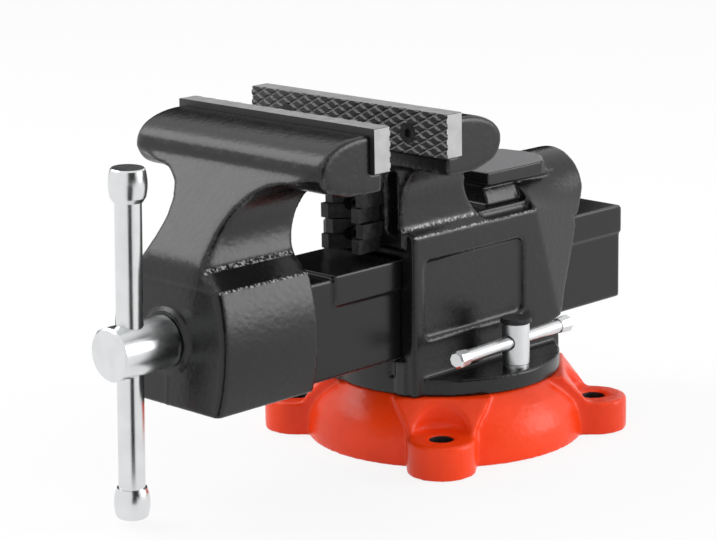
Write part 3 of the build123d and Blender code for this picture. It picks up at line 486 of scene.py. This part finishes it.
# ---------------------------------------------------------------- operators
class VISE_OT_stage(bpy.types.Operator):
    """Camera, soft lights, white room and pale floor"""

    bl_idname = "vise.stage"
    bl_label = "Studio"

    def execute(self, context):
        settings = context.scene.vise_studio
        scene = context.scene
        scene.view_settings.view_transform = "Standard"
        self.camera(scene, settings)
        self.room(scene, settings)
        self.lights(scene, settings)
        return {"FINISHED"}

    def camera(self, scene, settings):
        """Camera on its arm round the target, rolled a little."""
        back = Vector((math.sin(settings.azimuth) * math.cos(settings.elevation),
                       -math.cos(settings.azimuth) * math.cos(settings.elevation),
                       math.sin(settings.elevation)))
        right = Vector((math.cos(settings.azimuth), math.sin(settings.azimuth), 0))
        up = back.cross(right)
        turn, lean = math.cos(settings.roll), math.sin(settings.roll)
        axes = (right * turn + up * lean, up * turn - right * lean, back)
        camera = bpy.data.objects.new("camera", bpy.data.cameras.new("camera"))
        camera.data.sensor_width = 36
        camera.data.lens = settings.lens
        camera.data.clip_start = 0.05
        camera.data.clip_end = 50
        camera.matrix_world = (Matrix.Translation(Vector(settings.target) + back * settings.distance)
                               @ Matrix(axes).transposed().to_4x4())
        scene.collection.objects.link(camera)
        scene.camera = camera

    def room(self, scene, settings):
        """White to the camera and in reflections, even light elsewhere."""
        world = bpy.data.worlds.new("room")
        scene.world = world
        world.use_nodes = True
        nodes, links = world.node_tree.nodes, world.node_tree.links
        nodes.clear()
        path = nodes.new("ShaderNodeLightPath")
        seen = nodes.new("ShaderNodeMath")
        seen.operation = "MAXIMUM"
        links.new(path.outputs["Is Camera Ray"], seen.inputs[0])
        links.new(path.outputs["Is Transmission Ray"], seen.inputs[1])
        both = nodes.new("ShaderNodeMath")
        both.operation = "MAXIMUM"
        links.new(seen.outputs[0], both.inputs[0])
        links.new(path.outputs["Is Glossy Ray"], both.inputs[1])
        light = nodes.new("ShaderNodeBackground")
        light.inputs["Color"].default_value = (1, 1, 1, 1)
        light.inputs["Strength"].default_value = settings.ambient
        white = nodes.new("ShaderNodeBackground")
        white.inputs["Color"].default_value = (1, 1, 1, 1)
        white.inputs["Strength"].default_value = 1.0
        mix = nodes.new("ShaderNodeMixShader")
        out = nodes.new("ShaderNodeOutputWorld")
        links.new(both.outputs[0], mix.inputs[0])
        links.new(light.outputs[0], mix.inputs[1])
        links.new(white.outputs[0], mix.inputs[2])
        links.new(mix.outputs[0], out.inputs["Surface"])

        floor = self.board("floor", ((-6, -6, 0), (6, -6, 0), (6, 6, 0), (-6, 6, 0)), self.floor_white())
        floor.location.z = -0.0004

    def board(self, name, corners, material):
        """Flat four-cornered stage piece."""
        mesh = bpy.data.meshes.new(name)
        mesh.from_pydata(corners, [], [(0, 1, 2, 3)])
        board = bpy.data.objects.new(name, mesh)
        bpy.context.scene.collection.objects.link(board)
        dress(board, material)
        return board

    def floor_white(self):
        """Near-white floor that still takes the shadow of what stands on it."""
        paint = Paint("floor_white")
        cloud = paint.grain(0.5, detail=2)
        tone = paint.blend(cloud, (0.86, 0.86, 0.86), (0.90, 0.90, 0.90))
        matt = paint.add("ShaderNodeBsdfDiffuse", inputs={"Color": tone})
        white = paint.add("ShaderNodeEmission", inputs={"Color": (1, 1, 1, 1), "Strength": 1.0})
        rays = [paint.add("ShaderNodeLightPath", output=kind)
                for kind in ("Is Camera Ray", "Is Glossy Ray", "Is Transmission Ray")]
        seen = rays[0].highest(rays[1]).highest(rays[2])
        surface = paint.add("ShaderNodeMixShader", inputs={0: seen * 0.86, 1: matt, 2: white})
        paint.add("ShaderNodeOutputMaterial", inputs={"Surface": surface})
        return paint.material

    def lights(self, scene, settings):
        """Soft boxes at the left front, the right and overhead, and black flags that darken reflections."""
        for name, place, size, power in (
            ("key_light", (-1.3, -0.9, 1.5), 1.3, settings.key),
            ("side_light", (1.3, 1.1, 0.55), 0.9, settings.side),
            ("top_light", (-0.5, -0.1, 2.0), 0.7, settings.top),
        ):
            lamp = bpy.data.lights.new(name, "AREA")
            lamp.energy = power
            lamp.size = size
            light = bpy.data.objects.new(name, lamp)
            light.location = place
            aim = Vector((0, -0.05, 0.11)) - light.location
            light.rotation_euler = aim.to_track_quat("-Z", "Y").to_euler()
            scene.collection.objects.link(light)
        paint = Paint("flag_black")
        black = paint.finish(Base_Color=(0.004, 0.004, 0.004), Roughness=0.9, Specular_IOR_Level=0.0)
        for name, angle, reach, left, right, top in (
            ("flag_back", 225.0, 1.6, 1.5, -0.30, 1.25),
            ("flag_front", 70.0, 1.9, 0.85, -0.85, 1.6),
        ):
            outward = Vector((math.sin(math.radians(angle)), -math.cos(math.radians(angle)), 0))
            sideways = Vector((-outward.y, outward.x, 0))
            corners = [tuple(outward * reach + sideways * offset + Vector((0, 0, z)))
                       for offset, z in ((right, 0.0), (left, 0.0), (left, top), (right, top))]
            self.flag(name, corners, black)
        corners = [(reach * math.sin(math.radians(angle)), BAR_Y - reach * math.cos(math.radians(angle)), MM)
                   for reach, angle in ((0.08, 47), (1.4, 47), (1.4, 79), (0.08, 79))]
        self.flag("flag_floor", corners, black)

    def flag(self, name, corners, black):
        """Black board that only shows in reflections."""
        flag = self.board(name, corners, black)
        for kind in ("camera", "diffuse", "shadow", "transmission"):
            setattr(flag, "visible_" + kind, False)


class VISE_OT_front_casting(bpy.types.Operator):
    """Cast skin of the sliding jaw"""

    bl_idname = "vise.front_casting"
    bl_label = "Front casting"

    def execute(self, context):
        material = black_enamel(context)
        piece = cast_skin(
            "front_jaw", "front_jaw_cast",
            soft=[((-70, -237, 153), (70, -162, 199), 14, 26), ((-45, -229, 139), (45, -157, 153), 5, 8)],
            crisp=[((-82, -149, 194), (82, -127, 224), 3), ((-30, -159, 63), (30, -147, 127), 2)],
            seed=3.0, extra=self.parting_line, painted_highlight=self.foot_highlights)
        stand_in(piece, "front_jaw", "sliding_jaw", material)
        return {"FINISHED"}

    def foot_highlights(self, points):
        """Painted highlight lines along the foot of the neck and the block's upper edges."""
        return along(points, [
            line for side in (1, -1)
            for line in (((side * 28.5, -224, 146.5), (side * 28.5, -156, 146.5), 1.5),
                         ((side * 42, -226, 136.8), (side * 42, -159, 136.8), 0.8))])

    def parting_line(self, points):
        """Thin flash line down the middle of the block's front face."""
        on_face = (points[:, 1] < -229 * MM) & (points[:, 2] < 83 * MM) & (points[:, 2] > 65 * MM)
        return FLASH_HEIGHT * np.exp(-(points[:, 0] / FLASH_WIDTH) ** 2) * on_face


class VISE_OT_rear_casting(bpy.types.Operator):
    """Cast skin of the body with its swivel disc and anvil"""

    bl_idname = "vise.rear_casting"
    bl_label = "Rear casting"

    def execute(self, context):
        material = black_enamel(context)
        piece = cast_skin(
            "vise_body", "vise_body_cast",
            soft=[((-60, -73, 153), (60, -15, 203), 12, 20), ((-45, 58, 80), (45, 108, 170), 6, 6)],
            crisp=[((-82, -87, 194), (82, -67, 224), 3), ((-76, -76, 38), (76, 76, 53), 1.5),
                   ((-30, -71, 62), (30, -67, 127), 2), ((-31, 7, 159), (31, 74, 169), 1.5)],
            seed=11.0, extra=self.tunnel_room, bare_and_painted_light=self.anvil_top, painted_highlight=self.ledge_highlights)
        stand_in(piece, "vise_body", "rear_casting", material)
        return {"FINISHED"}

    def tunnel_room(self, points):
        """Keeps the walls of the tunnel clear of the slide."""
        return -TUNNEL_ROOM * inside(points, TUNNEL_LOW, TUNNEL_HIGH, 0.2)

    def ledge_highlights(self, points):
        """Painted highlight lines along the foot of the neck, the ledge's edges and the lower edges of the
        side panels.
        """
        return along(points, [
            line for side in (1, -1)
            for line in (((side * 33, -70, 144.5), (side * 33, -6, 144.5), 1.4),
                         ((side * 39.4, -67, 140.3), (side * 39.4, 42, 140.3), 0.7),
                         ((side * 39.4, -54, 75.7), (side * 39.4, 16, 75.7), 0.7))])

    def anvil_top(self, points):
        """The anvil's ground face."""
        return inside(points, (-30, 9, 167.5), (30, 77, 169), 0.3)


class VISE_OT_base(bpy.types.Operator):
    """Orange cast swivel base"""

    bl_idname = "vise.base"
    bl_label = "Swivel base"

    def execute(self, context):
        settings = context.scene.vise_castings
        color = tuple(settings.orange)
        # The near-black bare colour is painted shade in the bolt holes; the lighter edge colour is worn paint
        # with a painted highlight.
        material = enamel("orange_enamel", color, shaded(color, 1.1), (0.008, 0.006, 0.006), 0.32, 0.32)
        piece = cast_skin(
            "swivel_base", "swivel_base_cast",
            soft=[((-120, -120, 4), (120, 120, 39), 5, 14)],
            crisp=[((-72, -72, 40), (72, 72, 42), 1.0)],
            seed=23.0, depth=0.10 * MM, bare_and_painted_light=self.hole_shade)
        stand_in(piece, "swivel_base", "base", material)
        return {"FINISHED"}

    def hole_shade(self, points):
        """Painted shade: the walls of the four bolt holes, painted near black."""
        near = np.full(len(points), np.inf)
        for number in range(HOLE_COUNT):
            angle = math.radians(HOLE_ANGLE + 360 / HOLE_COUNT * number)
            middle = HOLE_CIRCLE * np.array((math.cos(angle), math.sin(angle)))
            near = np.minimum(near, np.hypot(*(points[:, :2] - middle).T))
        return np.clip((HOLE_SHADE_REACH - near) / MM, 0, 1)


class VISE_OT_slide(bpy.types.Operator):
    """Slide bar with softened edges"""

    bl_idname = "vise.slide"
    bl_label = "Slide bar"

    def execute(self, context):
        material = satin_black("slide_black", tuple(context.scene.vise_castings.black))
        piece = cast_skin("slide_bar", "slide_bar_drawn", seed=31.0, depth=0.02 * MM,
                          extra=self.slip)
        stand_in(piece, "slide_bar", "sliding_jaw", material)
        return {"FINISHED"}

    def slip(self, points):
        """Thins the bar a little all round so that it runs free."""
        return np.full(len(points), -SLIDE_SLIP)


class VISE_OT_plates(bpy.types.Operator):
    """Jaw plates and their screws"""

    bl_idname = "vise.plates"
    bl_label = "Jaw plates"

    def execute(self, context):
        steel = context.scene.vise_steel
        coat(["jaw_plate_front", "jaw_plate_rear"],
             plate_steel("plate_steel", tuple(steel.ground), tuple(steel.oxide)))
        coat(["front_plate_screws", "rear_plate_screws"], oxide_steel("screw_oxide", tuple(steel.oxide)))
        return {"FINISHED"}


class VISE_OT_pipe_jaws(bpy.types.Operator):
    """Toothed pipe jaws and hidden fasteners"""

    bl_idname = "vise.pipe_jaws"
    bl_label = "Pipe jaws"

    def execute(self, context):
        color = tuple(context.scene.vise_steel.oxide)
        coat(["pipe_jaw_front", "pipe_jaw_rear", "front_pipe_jaw_screw", "rear_pipe_jaw_screws",
              "nut_bolts", "pivot_bolt", "pivot_washer"], oxide_steel("dark_oxide", color))
        return {"FINISHED"}


class VISE_OT_screw(bpy.types.Operator):
    """Main screw, its hub and the tommy bar"""

    bl_idname = "vise.screw"
    bl_label = "Screw and handle"

    def execute(self, context):
        steel = context.scene.vise_steel
        coat(["main_screw"], plated("hub_chrome", tuple(steel.chrome), 0.16, (1, 0.1, 1)))
        coat(["handle_bar", "handle_cap_upper", "handle_cap_lower"],
             plated("bar_chrome", tuple(steel.chrome), 0.19, (1, 1, 0.06)))
        coat(["screw_nut", "screw_collar", "collar_pin", "spring_washer", "take_up_spring"],
             oiled_steel("oiled_steel", tuple(steel.oiled)))
        return {"FINISHED"}


class VISE_OT_locks(bpy.types.Operator):
    """Swivel locks on both sides"""

    bl_idname = "vise.locks"
    bl_label = "Swivel locks"

    def execute(self, context):
        steel = context.scene.vise_steel
        chrome = plated("lock_chrome", tuple(steel.chrome), 0.26, (1, 0.1, 1))
        sides = ("right", "left")
        coat([f"{part}_{side}" for part in ("lock_nut", "lock_bar", "lock_washer") for side in sides], chrome)
        coat([f"lock_knob_{side}_{end}" for end in ("front", "rear") for side in sides], chrome)
        coat([f"lock_cap_{side}" for side in sides], oxide_steel("cap_black", tuple(steel.oxide)))
        coat([f"lock_stud_{side}" for side in sides], oiled_steel("stud_steel", tuple(steel.oiled)))
        return {"FINISHED"}


def black_enamel(context):
    """The black enamel that both castings share."""
    found = bpy.data.materials.get("black_enamel")
    if found is not None:
        return found
    color = tuple(context.scene.vise_castings.black)
    # The edge colour is worn paint with a painted highlight; the bare colour is the anvil's ground face.
    return enamel("black_enamel", color, (0.12, 0.12, 0.125), (0.16, 0.16, 0.165), 0.27, 0.44)


OPERATORS = (VISE_OT_stage, VISE_OT_front_casting, VISE_OT_rear_casting, VISE_OT_base, VISE_OT_slide,
             VISE_OT_plates, VISE_OT_pipe_jaws, VISE_OT_screw, VISE_OT_locks)


class VISE_PT_panel(bpy.types.Panel):
    """Settings and steps of the vise's finish"""

    bl_idname = "VISE_PT_panel"
    bl_label = "Bench Vise"
    bl_space_type = "VIEW_3D"
    bl_region_type = "UI"
    bl_category = "Vise"

    def draw(self, context):
        scene = context.scene
        for settings in (scene.vise_castings, scene.vise_steel, scene.vise_studio):
            box = self.layout.box()
            for key in settings.bl_rna.properties.keys():
                if key not in ("rna_type", "name"):
                    box.prop(settings, key)
        for operator in OPERATORS:
            self.layout.operator(operator.bl_idname)


GROUPS = (CastingSettings, SteelSettings, StudioSettings)


def register():
    for item in (*GROUPS, *OPERATORS, VISE_PT_panel):
        bpy.utils.register_class(item)
    bpy.types.Scene.vise_castings = PointerProperty(type=CastingSettings)
    bpy.types.Scene.vise_steel = PointerProperty(type=SteelSettings)
    bpy.types.Scene.vise_studio = PointerProperty(type=StudioSettings)


def unregister():
    del bpy.types.Scene.vise_castings
    del bpy.types.Scene.vise_steel
    del bpy.types.Scene.vise_studio
    for item in reversed((*GROUPS, *OPERATORS, VISE_PT_panel)):
        bpy.utils.unregister_class(item)


def main():
    """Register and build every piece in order."""
    register()
    bpy.ops.vise.stage()
    bpy.ops.vise.front_casting()
    bpy.ops.vise.rear_casting()
    bpy.ops.vise.base()
    bpy.ops.vise.slide()
    bpy.ops.vise.plates()
    bpy.ops.vise.pipe_jaws()
    bpy.ops.vise.screw()
    bpy.ops.vise.locks()


if __name__ == "__main__":
    main()
